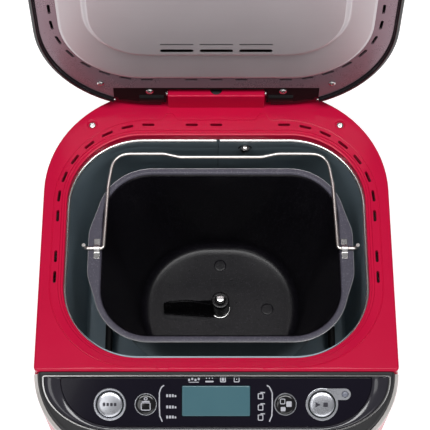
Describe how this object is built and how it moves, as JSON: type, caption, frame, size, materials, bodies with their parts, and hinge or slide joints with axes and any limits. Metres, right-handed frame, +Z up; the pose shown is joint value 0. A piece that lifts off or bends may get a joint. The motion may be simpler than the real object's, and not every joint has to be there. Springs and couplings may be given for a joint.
{
  "type": "bread machine",
  "caption": "Countertop bread machine with hinged lid, oven chamber, lift-out pan with bail handle, kneading paddle, belt drive and sloping push-button control panel.",
  "frame": {"origin": "on the table under the middle of the whole machine with its lid open", "axes": "+Z up, -Y the front with the control panel, +X to the right seen from the front"},
  "size_m": [0.2792, 0.3662, 0.4858],
  "materials": {
    "black_gloss_plastic": "polished black moulded plastic",
    "black_matt_plastic": "black engineering plastic",
    "black_rubber": "black rubber",
    "bright_steel": "bright stamped or turned steel",
    "brushed_reflector_steel": "stamped stainless reflector sheet",
    "cast_aluminium": "cast or turned aluminium",
    "circuit_board": "green circuit board",
    "coated_chamber_steel": "grey-teal coated chamber sheet",
    "lamp_lens": "pale lamp lens",
    "lcd_teal": "grey-teal display window",
    "mauve_grey_plastic": "dark warm grey satin plastic",
    "navy_gloss_plate": "near-black glossy control plate",
    "non_stick_coating": "dark speckled non-stick coating on aluminium",
    "red_gloss_plastic": "deep raspberry red moulded plastic, satin gloss",
    "satin_edge": "pale satin silver strip",
    "silver_paint": "silver metallised plastic",
    "stainless_wire": "drawn stainless wire"
  },
  "bodies": {
    "machine": {"base_plate": "black_matt_plastic", "body_shell": "red_gloss_plastic", "control_board": "circuit_board", "control_panel": "navy_gloss_plate", "cord_inlet": "black_matt_plastic", "deck_screw_left": "bright_steel", "deck_screw_right": "bright_steel", "drive_bearing": "cast_aluminium", "drive_belt": "black_rubber", "element_clip_left": "bright_steel", "element_clip_right": "bright_steel", "fascia_edge": "satin_edge", "fascia_frame": "black_matt_plastic", "foot_back_left": "black_rubber", "foot_back_right": "black_rubber", "foot_front_left": "black_rubber", "foot_front_right": "black_rubber", "heating_element": "black_matt_plastic", "hinge_block": "red_gloss_plastic", "hinge_pin_left": "bright_steel", "hinge_pin_right": "bright_steel", "lcd_window": "lcd_teal", "menu_bezel": "silver_paint", "motor": "cast_aluminium", "motor_bracket": "bright_steel", "oven_liner": "coated_chamber_steel", "panel_bezel": "black_gloss_plastic", "panel_trim": "silver_paint", "start_bezel": "silver_paint", "start_lamp": "lamp_lens", "temperature_sensor": "bright_steel", "top_deck": "red_gloss_plastic"},
    "lid": {"lid_grip": "black_gloss_plastic", "lid_hinge_left": "black_matt_plastic", "lid_hinge_right": "black_matt_plastic", "lid_inner_frame": "mauve_grey_plastic", "lid_reflector": "brushed_reflector_steel", "lid_rim": "black_gloss_plastic", "lid_screw_left": "bright_steel", "lid_screw_right": "bright_steel", "lid_top": "red_gloss_plastic"},
    "pan": {"pan": "non_stick_coating", "pan_base": "cast_aluminium", "pan_bearing": "cast_aluminium", "pan_seal": "bright_steel", "handle_bracket_left": "bright_steel", "handle_bracket_right": "bright_steel"},
    "handle": {"bail_handle": "stainless_wire"},
    "pan_drive": {"pan_shaft": "bright_steel", "pan_coupling": "bright_steel"},
    "kneader": {"paddle": "non_stick_coating"},
    "drive": {"drive_shaft": "bright_steel", "drive_pulley": "cast_aluminium", "drive_coupling": "bright_steel"},
    "rotor": {"motor_shaft": "bright_steel", "motor_pulley": "cast_aluminium"},
    "menu_button_body": {"menu_button": "silver_paint"},
    "start_button_body": {"start_button": "silver_paint"},
    "loaf_button_body": {"loaf_button": "black_gloss_plastic"},
    "crust_button_body": {"crust_button": "black_gloss_plastic"}
  },
  "joints": [
    {"name": "lid_hinge", "type": "hinge", "parent": "machine", "child": "lid", "pos_m": [0, 0.10697, 0.2426], "axis": [-1, 0, 0], "range_deg": [-100.5, 0]},
    {"name": "pan_lift", "type": "slide", "parent": "machine", "child": "pan", "axis": [0, 0, 1], "range_m": [0, 0.22]},
    {"name": "bail_swing", "type": "hinge", "parent": "pan", "child": "handle", "pos_m": [0.0036, -0.01663, 0.2088], "axis": [1, 0, 0], "range_deg": [0, 180]},
    {"name": "paddle_lift", "type": "slide", "parent": "pan_drive", "child": "kneader", "axis": [0, 0, 1], "range_m": [0, 0.04]},
    {"name": "drive_spin", "type": "hinge", "parent": "machine", "child": "drive", "pos_m": [0.0036, -0.01963, 0.015], "axis": [0, 0, 1], "continuous": true},
    {"name": "pan_shaft_spin", "type": "hinge", "parent": "pan", "child": "pan_drive", "pos_m": [0.0036, -0.01963, 0.074], "axis": [0, 0, 1], "continuous": true},
    {"name": "motor_spin", "type": "hinge", "parent": "machine", "child": "rotor", "pos_m": [-0.05994, -0.14813, 0.015], "axis": [0, 0, 1], "continuous": true},
    {"name": "menu_button_press", "type": "slide", "parent": "machine", "child": "menu_button_body", "axis": [0, 0.4226, -0.9063], "range_m": [0, 0.001], "stiffness_N_per_m": 400},
    {"name": "start_button_press", "type": "slide", "parent": "machine", "child": "start_button_body", "axis": [0, 0.4226, -0.9063], "range_m": [0, 0.001], "stiffness_N_per_m": 400},
    {"name": "loaf_button_press", "type": "slide", "parent": "machine", "child": "loaf_button_body", "axis": [0, 0.4226, -0.9063], "range_m": [0, 0.001], "stiffness_N_per_m": 400},
    {"name": "crust_button_press", "type": "slide", "parent": "machine", "child": "crust_button_body", "axis": [0, 0.4226, -0.9063], "range_m": [0, 0.001], "stiffness_N_per_m": 400}
  ],
  "couplings": [
    {"joint": "pan_shaft_spin", "follows": "drive_spin", "ratio": 1},
    {"joint": "motor_spin", "follows": "drive_spin", "ratio": 3.8182}
  ]
}
